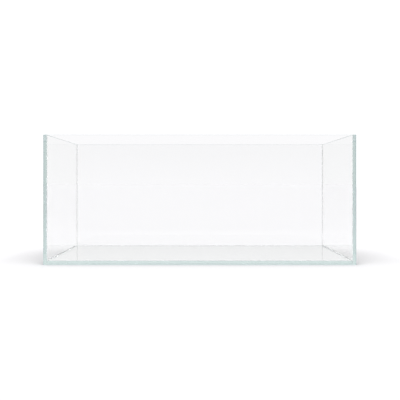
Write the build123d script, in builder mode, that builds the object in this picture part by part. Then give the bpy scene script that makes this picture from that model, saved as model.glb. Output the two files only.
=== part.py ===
"""Rimless glass aquarium tank: five glass panes held together by clear silicone.

The front and back panes run the full width and cover the ends of the side panes.
The base pane lies between the four walls, flush with their lower edges. Every pair
of panes is joined by a thin structural bond, and an inner seal runs along each seam.
Origin: centre of the footprint on the underside. +X along the tank, the front
faces -Y, +Z up. Millimetres.
"""
from build123d import *
import os

# Driving dimensions
tank_width = 1200.0
tank_depth = 500.0
tank_height = 500.0
wall_glass = 12.0  # thickness of the four walls
base_glass = 15.0  # thickness of the base pane
arris = 0.5  # 45 degree bevel ground along the edges of every pane
bond_gap = 1.0  # thickness of the silicone between two panes
seal_leg = 3.0  # reach of an inner seal along each pane, measured from the seam
seal_hollow = 0.5  # how far the tooled face of a seal dips below a flat bevel

# Inner faces of the walls, and where the panes between them end
inner_x = tank_width / 2 - wall_glass
inner_y = tank_depth / 2 - wall_glass
side_end_y = inner_y - bond_gap
base_edge_x = inner_x - bond_gap
base_edge_y = inner_y - bond_gap

# Bonds lie on the flat of a pane's edge, between its two bevels
corner_bond_width = wall_glass - 2 * arris
base_bond_width = base_glass - 2 * arris
seal_mid = seal_leg / 2 - seal_hollow / 2**0.5  # middle of the tooled face, from both panes

# Each wall's inner face: local X along the wall, local Y up, normal pointing outwards
wall_faces = {
    "front": Plane((0, -inner_y, 0), x_dir=(1, 0, 0), z_dir=(0, -1, 0)),
    "back": Plane((0, inner_y, 0), x_dir=(-1, 0, 0), z_dir=(0, 1, 0)),
    "left": Plane((-inner_x, 0, 0), x_dir=(0, -1, 0), z_dir=(-1, 0, 0)),
    "right": Plane((inner_x, 0, 0), x_dir=(0, 1, 0), z_dir=(1, 0, 0)),
}
pane_lengths = {
    "front": tank_width,
    "back": tank_width,
    "left": 2 * side_end_y,
    "right": 2 * side_end_y,
}
# A base bond fills the seam from one corner to the next: the long ones reach the
# corner bonds, the short ones end at the long ones
base_bond_lengths = {
    "front": 2 * (inner_x + arris),
    "back": 2 * (inner_x + arris),
    "left": 2 * base_edge_y,
    "right": 2 * base_edge_y,
}
inner_lengths = {
    "front": 2 * inner_x,
    "back": 2 * inner_x,
    "left": 2 * inner_y,
    "right": 2 * inner_y,
}
corners = {
    "front_left": (-1, -1),
    "front_right": (1, -1),
    "back_left": (-1, 1),
    "back_right": (1, 1),
}


def section_plane(face, length):
    """Plane across the start of a seam: local X into the tank, local Y up."""
    start = face.origin - face.x_dir * (length / 2)
    return Plane(start, x_dir=-face.z_dir, z_dir=face.x_dir)


def mitre_plane(face, length, end):
    """Upright plane at 45 degrees through the corner at one end of a seam."""
    corner = face.origin + face.x_dir * (end * length / 2)
    return Plane(corner, z_dir=face.x_dir * end - face.z_dir)


def corner_point(x_side, y_side, side_gap, end_gap):
    """Point in plan, at these distances inwards from a side pane and from the front or back pane."""
    return (x_side * (inner_x - side_gap), y_side * (inner_y - end_gap))


os.makedirs("parts", exist_ok=True)

# Wall panes, bevelled all round
for side, face in wall_faces.items():
    with BuildPart() as wall_pane:
        with BuildSketch(face):
            Rectangle(pane_lengths[side], tank_height, align=(Align.CENTER, Align.MIN))
        extrude(amount=wall_glass)
        chamfer(wall_pane.edges(), arris)
    wall_pane.part.label = f"{side}_pane"
    export_step(wall_pane.part, f"parts/{side}_pane.step")

# Base pane, bevelled along its upper and lower edges
with BuildPart() as base_pane:
    with BuildSketch(Plane.XY):
        Rectangle(2 * base_edge_x, 2 * base_edge_y)
    extrude(amount=base_glass)
    chamfer(base_pane.edges().filter_by(Axis.Z, reverse=True), arris)
base_pane.part.label = "base_pane"
export_step(base_pane.part, "parts/base_pane.step")

# Corner bonds: upright strips between the ends of the side panes and the front or back pane
for corner, (x_side, y_side) in corners.items():
    with BuildPart() as corner_bond:
        with BuildSketch(Plane.XY.offset(arris)):
            with Locations((x_side * (inner_x + wall_glass / 2), y_side * (inner_y - bond_gap / 2))):
                Rectangle(corner_bond_width, bond_gap)
        extrude(amount=tank_height - 2 * arris)
    corner_bond.part.label = f"corner_bond_{corner}"
    export_step(corner_bond.part, f"parts/corner_bond_{corner}.step")

# Base bonds: strips between the edges of the base pane and the walls
for side, length in base_bond_lengths.items():
    with BuildPart() as base_bond:
        with BuildSketch(section_plane(wall_faces[side], length)):
            with Locations((0, arris)):
                Rectangle(bond_gap, base_bond_width, align=(Align.MIN, Align.MIN))
        extrude(amount=length)
    base_bond.part.label = f"base_bond_{side}"
    export_step(base_bond.part, f"parts/base_bond_{side}.step")

# Corner seals: coved beads up the four inner corners, rooted in the side pane's bevel
corner_seals = []
for corner, (x_side, y_side) in corners.items():
    tip_on_end = corner_point(x_side, y_side, seal_leg, 0)
    tip_on_side = corner_point(x_side, y_side, 0, seal_leg)
    with BuildPart() as corner_seal:
        with BuildSketch(Plane.XY.offset(base_glass)):
            with BuildLine():
                Polyline(
                    tip_on_end,
                    corner_point(x_side, y_side, -arris, 0),
                    corner_point(x_side, y_side, -arris, bond_gap),
                    corner_point(x_side, y_side, 0, bond_gap + arris),
                    tip_on_side,
                )
                ThreePointArc(tip_on_side, corner_point(x_side, y_side, seal_mid, seal_mid), tip_on_end)
            make_face()
        extrude(amount=tank_height - arris - base_glass)
    corner_seal.part.label = f"corner_seal_{corner}"
    export_step(corner_seal.part, f"parts/corner_seal_{corner}.step")
    corner_seals.append(corner_seal.part)

# Base seals: coved beads round the base, mitred together and cut round the corner seals
for side, length in inner_lengths.items():
    face = wall_faces[side]
    tip_on_base = (seal_leg, base_glass)
    tip_on_wall = (0, base_glass + seal_leg)
    with BuildPart() as base_seal:
        with BuildSketch(section_plane(face, length)):
            with BuildLine():
                Polyline(
                    tip_on_wall,
                    (0, base_glass - arris),
                    (bond_gap, base_glass - arris),
                    (bond_gap + arris, base_glass),
                    tip_on_base,
                )
                ThreePointArc(tip_on_base, (seal_mid, base_glass + seal_mid), tip_on_wall)
            make_face()
        extrude(amount=length)
        for end in (-1, 1):
            split(bisect_by=mitre_plane(face, length, end), keep=Keep.BOTTOM)
        for corner_seal_part in corner_seals:
            add(corner_seal_part, mode=Mode.SUBTRACT)
    base_seal.part.label = f"base_seal_{side}"
    export_step(base_seal.part, f"parts/base_seal_{side}.step")
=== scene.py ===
"""Looks of a rimless glass aquarium tank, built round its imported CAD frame. Metres, +Z up."""
import math

import bmesh
import bpy
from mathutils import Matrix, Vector, noise


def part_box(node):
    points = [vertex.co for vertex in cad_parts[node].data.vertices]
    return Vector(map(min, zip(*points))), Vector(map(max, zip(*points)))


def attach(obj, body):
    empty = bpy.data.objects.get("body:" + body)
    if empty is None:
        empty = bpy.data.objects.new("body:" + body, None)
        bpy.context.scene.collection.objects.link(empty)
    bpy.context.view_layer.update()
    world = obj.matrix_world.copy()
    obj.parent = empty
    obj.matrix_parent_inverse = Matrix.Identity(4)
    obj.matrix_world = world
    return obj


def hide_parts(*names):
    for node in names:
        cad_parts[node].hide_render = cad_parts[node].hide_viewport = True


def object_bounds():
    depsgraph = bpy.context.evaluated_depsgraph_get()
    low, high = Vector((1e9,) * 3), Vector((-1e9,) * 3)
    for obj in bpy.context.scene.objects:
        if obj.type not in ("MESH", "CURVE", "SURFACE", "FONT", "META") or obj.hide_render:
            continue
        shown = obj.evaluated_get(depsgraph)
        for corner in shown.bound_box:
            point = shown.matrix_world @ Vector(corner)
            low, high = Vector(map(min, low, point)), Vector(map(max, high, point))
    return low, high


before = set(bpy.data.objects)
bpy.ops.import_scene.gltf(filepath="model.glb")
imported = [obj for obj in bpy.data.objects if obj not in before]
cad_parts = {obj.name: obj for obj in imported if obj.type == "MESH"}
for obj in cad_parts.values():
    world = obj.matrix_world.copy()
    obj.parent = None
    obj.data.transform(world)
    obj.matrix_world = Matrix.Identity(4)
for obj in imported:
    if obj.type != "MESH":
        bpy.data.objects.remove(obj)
cad_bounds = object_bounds()

# Sizes read from the frame
BASE_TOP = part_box("base_pane")[1].z
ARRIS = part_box("base_bond_front")[0].z
INNER_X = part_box("base_seal_front")[1].x
INNER_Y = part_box("base_seal_left")[1].y
BOND_GAP = INNER_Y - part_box("base_pane")[1].y
SEAL_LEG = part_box("base_seal_front")[1].z - BASE_TOP
SEAL_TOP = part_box("corner_seal_front_left")[1].z

# Walls: direction along the wall, direction inwards, half its inner length, its distance from the middle
WALLS = {
    "front": (Vector((1, 0, 0)), Vector((0, 1, 0)), INNER_X, INNER_Y),
    "back": (Vector((-1, 0, 0)), Vector((0, -1, 0)), INNER_X, INNER_Y),
    "left": (Vector((0, -1, 0)), Vector((1, 0, 0)), INNER_Y, INNER_X),
    "right": (Vector((0, 1, 0)), Vector((-1, 0, 0)), INNER_Y, INNER_X),
}
CORNERS = {
    "front_left": (-1, -1),
    "front_right": (1, -1),
    "back_left": (-1, 1),
    "back_right": (1, 1),
}
UP = Vector((0, 0, 1))

# Silicone details that the frame doesn't hold
CLEARANCE = 0.00002  # between silicone and glass, so that no two faces coincide
SEAL_HOLLOW = 0.0005  # how far the tooled face dips below a flat bevel
SEAL_STEPS = 10  # facets across the tooled face
SEAL_WAVE = 0.00006  # unevenness left by tooling
SEAL_WAVES = 45.0  # per metre
SEAL_SPACING = 0.015  # between the rings along a seal
SEAL_SMOOTH = math.radians(28)  # sharper edges than this stay sharp
MENISCUS = 0.0003  # hollow of a bond's open edge
MENISCUS_STEPS = 6

# The tooled face is an arc of this radius round a centre this far from both panes
SEAL_RADIUS = (SEAL_LEG**2 / 2 + SEAL_HOLLOW**2) / (2 * SEAL_HOLLOW)
SEAL_CENTRE = SEAL_LEG / 2 + (SEAL_RADIUS - SEAL_HOLLOW) / math.sqrt(2)

# Glass
CLEAR = (1.0, 1.0, 1.0, 1)
EDGE_LOW = (0.94, 0.98, 0.975, 1)  # tint of the polished edges
EDGE_HIGH = (0.98, 0.998, 0.995, 1)
EDGE_NOISE = 60.0  # per metre
EDGE_BELOW = 0.99  # a face is an edge if its normal lies less than this across the pane
GLASS_IOR = 1.52
GLASS_DEPTH = (0.947, 0.964, 0.964, 1)  # colour of the absorption
GLASS_DENSITY = 10.0  # per metre

# Silicone. Its indices are effective ones, because the pieces stand clear of the glass that they join
BOND_LOOK = {
    "low": (0.90, 0.93, 0.92, 1),
    "high": (0.96, 0.97, 0.97, 1),
    "roughness": 0.05,
    "transmission": 1.0,
    "ior": 1.2,
    "unevenness": 0.03,
}
SEAL_LOOK = {
    "low": (0.96, 0.97, 0.97, 1),
    "high": (0.99, 0.995, 0.995, 1),
    "roughness": 0.15,
    "transmission": 0.87,
    "ior": 1.12,
    "unevenness": 0.08,
}
CLOUD_NOISE = 90.0  # per metre
BUMP_NOISE = 260.0  # per metre
BUMP_DEPTH = 0.0003
NOISE_DETAIL = 4.0  # octaves, in every noise

# Room, seen by reflections and by the floor: brightness near the horizon and overhead
ROOM_FRONT = 0.53
ROOM_BACK = 0.96
ROOM_TOP = 1.16
ROOM_LOW_END = 0.1  # heights of view between which it brightens
ROOM_TOP_START = 0.2

# Backdrop, seen directly or straight through the glass
BACKDROP_LOW = (1.043, 1.037, 1.052, 1)
BACKDROP_HIGH = (1.012, 1.007, 1.02, 1)
BACKDROP_RISE = 0.06  # height of view at which the upper colour is reached
BACKDROP_OPEN = 1.12  # how much brighter it is beside the tank than through it

# Floor, whose colour holds a painted contact shadow and painted shade for reflections
FLOOR_COLOUR = (0.906, 0.9, 0.914, 1)
FLOOR_SIZE = 300.0  # large enough to end at the horizon
FLOOR_GAP = 0.0002  # below the tank
FLOOR_LIGHT = 1.04  # its brightness in the open
MIRRORED_FRONT = (-0.8, -0.3)  # painted shade: between these, reflections see the floor's colour turn from as dim as the room
MIRRORED_BACK = (0.3, 3.0)  # and between these, back to as dim as the room
SHADE = 0.72  # painted shadow: colour brightness beside the ends of the tank
SHADE_UNDER = 0.85  # and painted shade under it, where light comes through the base
SHADE_FULL = 0.7  # open share of the sky at which the shade is full
SHADE_REACH = 0.3  # distance over which the tank hides the sky
SHADE_TILT = math.radians(50)  # of the light that the painted shade imitates, from the front or the back
CONTACT = 0.92  # further painted shade where the floor meets the tank
CONTACT_REACH = 0.05
SHADE_SAMPLES = 24

# Camera
LENS = 44.65  # millimetres, as the sensor
SENSOR = 36.0
SHIFT = (0.0006, -0.041)  # share of the picture's width
CAMERA_DISTANCE = 1.9  # in front of the tank
CAMERA_HEIGHT = 0.312

# Light paths
MOST_BOUNCES = 128
GLASS_BOUNCES = 96  # enough to run the length of a pane
DIFFUSE_BOUNCES = 8
SURE_BOUNCES = 64  # before a path may end at random, which would leave the glass edges grainy


# ---------------------------------------------------------------- node tools
def new_material(name):
    """Material with one Principled node; returns the material, its tree and that node."""
    material = bpy.data.materials.new(name)
    material.use_nodes = True
    tree = material.node_tree
    return material, tree, tree.nodes["Principled BSDF"]


def set_input(tree, socket, value):
    """Links a socket to another one, or gives it a value."""
    if isinstance(value, bpy.types.NodeSocket):
        tree.links.new(value, socket)
    else:
        socket.default_value = value


def add_noise(tree, scale):
    """Noise in the row frame, in cycles per metre."""
    place = tree.nodes.new("ShaderNodeTexCoord")
    texture = tree.nodes.new("ShaderNodeTexNoise")
    texture.inputs["Scale"].default_value = scale
    texture.inputs["Detail"].default_value = NOISE_DETAIL
    tree.links.new(place.outputs["Object"], texture.inputs["Vector"])
    return texture.outputs["Fac"]


def add_bump(tree, height, distance, strength):
    bump = tree.nodes.new("ShaderNodeBump")
    bump.inputs["Distance"].default_value = distance
    bump.inputs["Strength"].default_value = strength
    tree.links.new(height, bump.inputs["Height"])
    return bump.outputs["Normal"]


def add_mix(tree, share, low, high):
    """Colour from low to high by share."""
    mix = tree.nodes.new("ShaderNodeMix")
    mix.data_type = "RGBA"
    tree.links.new(share, mix.inputs["Factor"])
    set_input(tree, mix.inputs["A"], low)
    set_input(tree, mix.inputs["B"], high)
    return mix.outputs["Result"]


def add_maths(tree, operation, a, b):
    node = tree.nodes.new("ShaderNodeMath")
    node.operation = operation
    set_input(tree, node.inputs[0], a)
    set_input(tree, node.inputs[1], b)
    return node.outputs["Value"]


def map_range(tree, value, from_low, from_high, to_low, to_high):
    """Maps one range to another and clamps to its ends."""
    node = tree.nodes.new("ShaderNodeMapRange")
    tree.links.new(value, node.inputs["Value"])
    node.inputs["From Min"].default_value = from_low
    node.inputs["From Max"].default_value = from_high
    set_input(tree, node.inputs["To Min"], to_low)
    set_input(tree, node.inputs["To Max"], to_high)
    return node.outputs["Result"]


def add_parts(tree, output):
    """X, Y and Z of a texture coordinate."""
    place = tree.nodes.new("ShaderNodeTexCoord")
    parts = tree.nodes.new("ShaderNodeSeparateXYZ")
    tree.links.new(place.outputs[output], parts.inputs["Vector"])
    return parts.outputs


# ---------------------------------------------------------------- materials
def glass_material():
    """Low-iron float glass: clear faces, green along its depth, polished edges with a faint tint."""
    material, tree, surface = new_material("low_iron_glass")
    surface.inputs["Roughness"].default_value = 0.0
    surface.inputs["IOR"].default_value = GLASS_IOR
    surface.inputs["Transmission Weight"].default_value = 1.0
    edge = tree.nodes.new("ShaderNodeAttribute")
    edge.attribute_name = "edge"
    edge_tint = add_mix(tree, add_noise(tree, EDGE_NOISE), EDGE_LOW, EDGE_HIGH)
    tint = add_mix(tree, edge.outputs["Fac"], CLEAR, edge_tint)
    tree.links.new(tint, surface.inputs["Base Color"])
    inside = tree.nodes.new("ShaderNodeVolumeAbsorption")
    inside.inputs["Color"].default_value = GLASS_DEPTH
    inside.inputs["Density"].default_value = GLASS_DENSITY
    output = tree.nodes["Material Output"]
    tree.links.new(inside.outputs["Volume"], output.inputs["Volume"])
    return material


def silicone_material(name, look):
    """Clear silicone, a little milky, with soft unevenness."""
    material, tree, surface = new_material(name)
    surface.inputs["Roughness"].default_value = look["roughness"]
    surface.inputs["IOR"].default_value = look["ior"]
    surface.inputs["Transmission Weight"].default_value = look["transmission"]
    colour = add_mix(tree, add_noise(tree, CLOUD_NOISE), look["low"], look["high"])
    tree.links.new(colour, surface.inputs["Base Color"])
    bump = add_bump(tree, add_noise(tree, BUMP_NOISE), BUMP_DEPTH, look["unevenness"])
    tree.links.new(bump, surface.inputs["Normal"])
    return material


def add_openness(tree, tilt, distance):
    """Share of the sky that is open, seen upwards, or tilted to the front (below 0) or the back."""
    normal = tree.nodes.new("ShaderNodeCombineXYZ")
    normal.inputs["Y"].default_value = math.sin(tilt)
    normal.inputs["Z"].default_value = math.cos(tilt)
    reach = tree.nodes.new("ShaderNodeAmbientOcclusion")
    reach.samples = SHADE_SAMPLES
    reach.inputs["Distance"].default_value = distance
    tree.links.new(normal.outputs["Vector"], reach.inputs["Normal"])
    return reach.outputs["AO"]


def add_painted_shade(tree):
    """Painted contact shadow: brightness for the floor's colour, as if soft light from front and back threw
    the tank's shadow sideways.
    """
    front = add_openness(tree, -SHADE_TILT, SHADE_REACH)
    back = add_openness(tree, SHADE_TILT, SHADE_REACH)
    open_sky = add_maths(tree, "MAXIMUM", front, back)
    covered = (1 - math.cos(SHADE_TILT)) / 2  # openness under the tank
    full = map_range(tree, open_sky, covered, SHADE_FULL / 2, SHADE_UNDER, SHADE)
    share = map_range(tree, open_sky, SHADE_FULL, 1.0, 0.0, 1.0)
    soft = map_range(tree, share, 0.0, 1.0, full, 1.0)
    near = add_openness(tree, 0.0, CONTACT_REACH)
    contact = map_range(tree, near, 0.5, 1.0, CONTACT, 1.0)  # a wall hides half the sky
    return add_maths(tree, "MULTIPLY", soft, contact)


def floor_material():
    """Matt white floor with a painted contact shadow in its colour. Its colour is also painted darker where
    reflections see it, so its mirror image in the glass is as dim as the room's.
    """
    material, tree, surface = new_material("studio_floor")
    surface.inputs["Roughness"].default_value = 1.0
    surface.inputs["Specular IOR Level"].default_value = 0.0
    black = (0, 0, 0, 1)
    # painted contact shadow: the shade darkens the floor's colour
    colour = add_mix(tree, add_painted_shade(tree), black, FLOOR_COLOUR)
    # painted shade: where reflections see the floor, its colour darkens in front and behind to the room's
    # dimness
    depth = add_parts(tree, "Object")["Y"]
    front = map_range(tree, depth, *MIRRORED_FRONT, ROOM_FRONT / FLOOR_LIGHT, 1.0)
    back = map_range(tree, depth, *MIRRORED_BACK, 1.0, ROOM_BACK / FLOOR_LIGHT)
    painted_dim = add_maths(tree, "MULTIPLY", front, back)
    path = tree.nodes.new("ShaderNodeLightPath")
    mirrored = add_maths(tree, "GREATER_THAN", path.outputs["Glossy Depth"], 0.5)
    painted_brightness = map_range(tree, mirrored, 0.0, 1.0, 1.0, painted_dim)
    tree.links.new(add_mix(tree, painted_brightness, black, colour), surface.inputs["Base Color"])
    return material


# ---------------------------------------------------------------- mesh tools
def add_piece(name, bm, material, node):
    """Turns bm into a piece that rides on the tank and stands for this CAD node."""
    bmesh.ops.recalc_face_normals(bm, faces=bm.faces)
    mesh = bpy.data.meshes.new(name)
    bm.to_mesh(mesh)
    bm.free()
    mesh.materials.append(material)
    piece = bpy.data.objects.new(name, mesh)
    bpy.context.scene.collection.objects.link(piece)
    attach(piece, "root")
    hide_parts(node)
    return piece


def skin(rings):
    """Closed mesh through rings of equally many points, capped at both ends."""
    bm = bmesh.new()
    rows = [[bm.verts.new(point) for point in ring] for ring in rings]
    for near, far in zip(rows, rows[1:]):
        for i in range(len(near)):
            j = (i + 1) % len(near)
            bm.faces.new((near[i], near[j], far[j], far[i]))
    bm.faces.new(rows[0])
    bm.faces.new(rows[-1])
    return bm


# ---------------------------------------------------------------- panes
def is_upright(edge):
    return abs((edge.verts[0].co - edge.verts[1].co).z) > BASE_TOP / 2


def build_pane(node, name, material, bevel_upright=True):
    """One sheet of glass with ground bevels. The edge attribute marks edges and bevels."""
    low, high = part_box(node)
    size, centre = high - low, (high + low) / 2
    bm = bmesh.new()
    bmesh.ops.create_cube(bm, size=1.0)
    for vert in bm.verts:
        vert.co = centre + Vector(v * s for v, s in zip(vert.co, size))
    edges = [e for e in bm.edges if bevel_upright or not is_upright(e)]
    bmesh.ops.bevel(bm, geom=edges, offset=ARRIS, segments=1, profile=0.5, affect="EDGES")
    thin = min(range(3), key=lambda axis: size[axis])
    bm.normal_update()
    edge = bm.faces.layers.float.new("edge")
    for face in bm.faces:
        face[edge] = 0.0 if abs(face.normal[thin]) > EDGE_BELOW else 1.0
    return add_piece(name, bm, material, node)


# ---------------------------------------------------------------- silicone
def bond_profile(width):
    """Outline of a bond in (across the gap, along its width), hollow at the open edge."""
    half_gap = BOND_GAP / 2 - CLEARANCE
    half_width = width / 2 - CLEARANCE
    points = [(half_gap, half_width), (-half_gap, half_width)]
    for i in range(MENISCUS_STEPS + 1):
        across = -1 + 2 * i / MENISCUS_STEPS
        points.append((across * half_gap, MENISCUS * (1 - across * across) - half_width))
    return points


def build_corner_bond(corner, material):
    x_side, _ = CORNERS[corner]
    low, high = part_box(f"corner_bond_{corner}")
    centre = (low + high) / 2
    profile = bond_profile(high.x - low.x)
    rings = []
    for z in (low.z + CLEARANCE, high.z - CLEARANCE):
        rings.append([Vector((centre.x - x_side * w, centre.y + a, z)) for a, w in profile])
    return add_piece(f"bond_{corner}", skin(rings), material, f"corner_bond_{corner}")


def build_base_bond(side, material):
    along, inward, _, _ = WALLS[side]
    low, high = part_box(f"base_bond_{side}")
    centre = (low + high) / 2
    reach = abs((high - low).dot(along)) / 2 - CLEARANCE
    profile = bond_profile(high.z - low.z)
    rings = []
    for end in (-1, 1):
        rings.append([centre + along * (end * reach) + inward * a + UP * w for a, w in profile])
    return add_piece(f"bond_base_{side}", skin(rings), material, f"base_bond_{side}")


def seal_height(distance):
    """Height of a seal's tooled face above one pane, at this distance from the other."""
    if distance <= 0:
        return SEAL_LEG
    if distance >= SEAL_LEG:
        return 0.0
    return SEAL_CENTRE - math.sqrt(SEAL_RADIUS**2 - (SEAL_CENTRE - distance) ** 2)


def seal_profile():
    """Outline of a seal in (distance from wall A, distance from wall B), as (a, b, tooled).

    Wall A carries the bond; the root fills the bevel of the pane that ends there.
    """
    c = CLEARANCE
    points = [
        (c, -ARRIS + c, False),
        (BOND_GAP - c, -ARRIS + c, False),
        (BOND_GAP + ARRIS, c, False),
    ]
    start = math.atan2(-SEAL_CENTRE, SEAL_LEG - SEAL_CENTRE) % (2 * math.pi)
    stop = math.atan2(SEAL_LEG - SEAL_CENTRE, -SEAL_CENTRE) % (2 * math.pi)
    for i in range(SEAL_STEPS + 1):
        angle = start + (stop - start) * i / SEAL_STEPS
        a = SEAL_CENTRE + SEAL_RADIUS * math.cos(angle)
        b = SEAL_CENTRE + SEAL_RADIUS * math.sin(angle)
        points.append((max(a, c), max(b, c), 0 < i < SEAL_STEPS))
    return points


def wavy(point, out):
    """Moves a point of the tooled face a little along out, as a finger leaves it."""
    return point + out * (SEAL_WAVE * noise.noise(point * SEAL_WAVES))


def smooth(piece):
    for face in piece.data.polygons:
        face.use_smooth = True
    piece.data.set_sharp_from_angle(angle=SEAL_SMOOTH)


def build_base_seal(side, material):
    along, inward, half_length, distance = WALLS[side]
    wall = -inward * distance
    count = round(2 * half_length / SEAL_SPACING)
    out = (inward + UP).normalized()
    rings = []
    for k in range(count + 1):
        ring = []
        for a, b, tooled in seal_profile():
            reach = half_length - a
            step = -1 + 2 * k / count
            point = wall + along * (step * reach) + inward * a + UP * (BASE_TOP + b)
            ring.append(wavy(point, out) if tooled and 0 < k < count else point)
        rings.append(ring)
    seal = add_piece(f"seal_base_{side}", skin(rings), material, f"base_seal_{side}")
    smooth(seal)


def build_corner_seal(corner, material):
    x_side, y_side = CORNERS[corner]
    count = round((SEAL_TOP - BASE_TOP) / SEAL_SPACING)
    out = Vector((-x_side, -y_side, 0)).normalized()
    top = SEAL_TOP - CLEARANCE
    rings = []
    for k in range(count + 1):
        ring = []
        for b, a, tooled in seal_profile():
            bottom = BASE_TOP + max(seal_height(a), seal_height(b)) + CLEARANCE
            z = bottom + (top - bottom) * k / count
            point = Vector((x_side * (INNER_X - a), y_side * (INNER_Y - b), z))
            ring.append(wavy(point, out) if tooled and 0 < k < count else point)
        rings.append(ring)
    seal = add_piece(f"seal_{corner}", skin(rings), material, f"corner_seal_{corner}")
    smooth(seal)


# ---------------------------------------------------------------- stage
def build_floor():
    bm = bmesh.new()
    bmesh.ops.create_grid(bm, x_segments=1, y_segments=1, size=FLOOR_SIZE)
    mesh = bpy.data.meshes.new("floor")
    bm.to_mesh(mesh)
    bm.free()
    mesh.materials.append(floor_material())
    floor = bpy.data.objects.new("floor", mesh)
    floor.location.z = cad_bounds[0].z - FLOOR_GAP
    floor.visible_glossy = False
    bpy.context.scene.collection.objects.link(floor)


def build_world():
    """Soft white studio. Straight views end on a white backdrop, reflections see a dimmer room."""
    world = bpy.data.worlds.new("studio")
    bpy.context.scene.world = world
    world.use_nodes = True
    tree = world.node_tree
    view = add_parts(tree, "Generated")
    horizon = map_range(tree, view["Y"], -1.0, 1.0, ROOM_FRONT, ROOM_BACK)
    room = map_range(tree, view["Z"], ROOM_LOW_END, ROOM_TOP_START, horizon, ROOM_TOP)
    height = map_range(tree, view["Z"], 0.0, BACKDROP_RISE, 0.0, 1.0)
    backdrop = add_mix(tree, height, BACKDROP_LOW, BACKDROP_HIGH)
    path = tree.nodes.new("ShaderNodeLightPath").outputs
    turns = add_maths(tree, "ADD", path["Glossy Depth"], path["Diffuse Depth"])
    unturned = add_maths(tree, "LESS_THAN", turns, 0.5)
    through = add_maths(tree, "MULTIPLY", path["Is Transmission Ray"], unturned)
    straight = add_maths(tree, "MAXIMUM", path["Is Camera Ray"], through)
    background = tree.nodes["Background"]
    set_input(tree, background.inputs["Color"], add_mix(tree, straight, room, backdrop))
    strength = map_range(tree, path["Is Camera Ray"], 0.0, 1.0, 1.0, BACKDROP_OPEN)
    set_input(tree, background.inputs["Strength"], strength)


def build_camera():
    data = bpy.data.cameras.new("camera")
    data.lens = LENS
    data.sensor_width = SENSOR
    data.shift_x, data.shift_y = SHIFT
    camera = bpy.data.objects.new("camera", data)
    camera.location = (0.0, cad_bounds[0].y - CAMERA_DISTANCE, CAMERA_HEIGHT)
    camera.rotation_euler = (math.radians(90), 0, 0)
    bpy.context.scene.collection.objects.link(camera)
    bpy.context.scene.camera = camera


def set_light_paths():
    """Sets the depth of the light paths, without the blur that would darken the glass."""
    scene = bpy.context.scene
    scene.view_settings.view_transform = "Standard"
    scene.cycles.max_bounces = MOST_BOUNCES
    scene.cycles.glossy_bounces = GLASS_BOUNCES
    scene.cycles.transmission_bounces = GLASS_BOUNCES
    scene.cycles.diffuse_bounces = DIFFUSE_BOUNCES
    scene.cycles.min_light_bounces = SURE_BOUNCES
    scene.cycles.blur_glossy = 0.0


def main():
    glass = glass_material()
    bond = silicone_material("silicone_bond", BOND_LOOK)
    seal = silicone_material("silicone_seal", SEAL_LOOK)
    for side in WALLS:
        build_pane(f"{side}_pane", f"glass_{side}", glass)
        build_base_bond(side, bond)
        build_base_seal(side, seal)
    build_pane("base_pane", "glass_base", glass, bevel_upright=False)
    for corner in CORNERS:
        build_corner_bond(corner, bond)
        build_corner_seal(corner, seal)
    build_floor()
    build_world()
    build_camera()
    set_light_paths()


main()
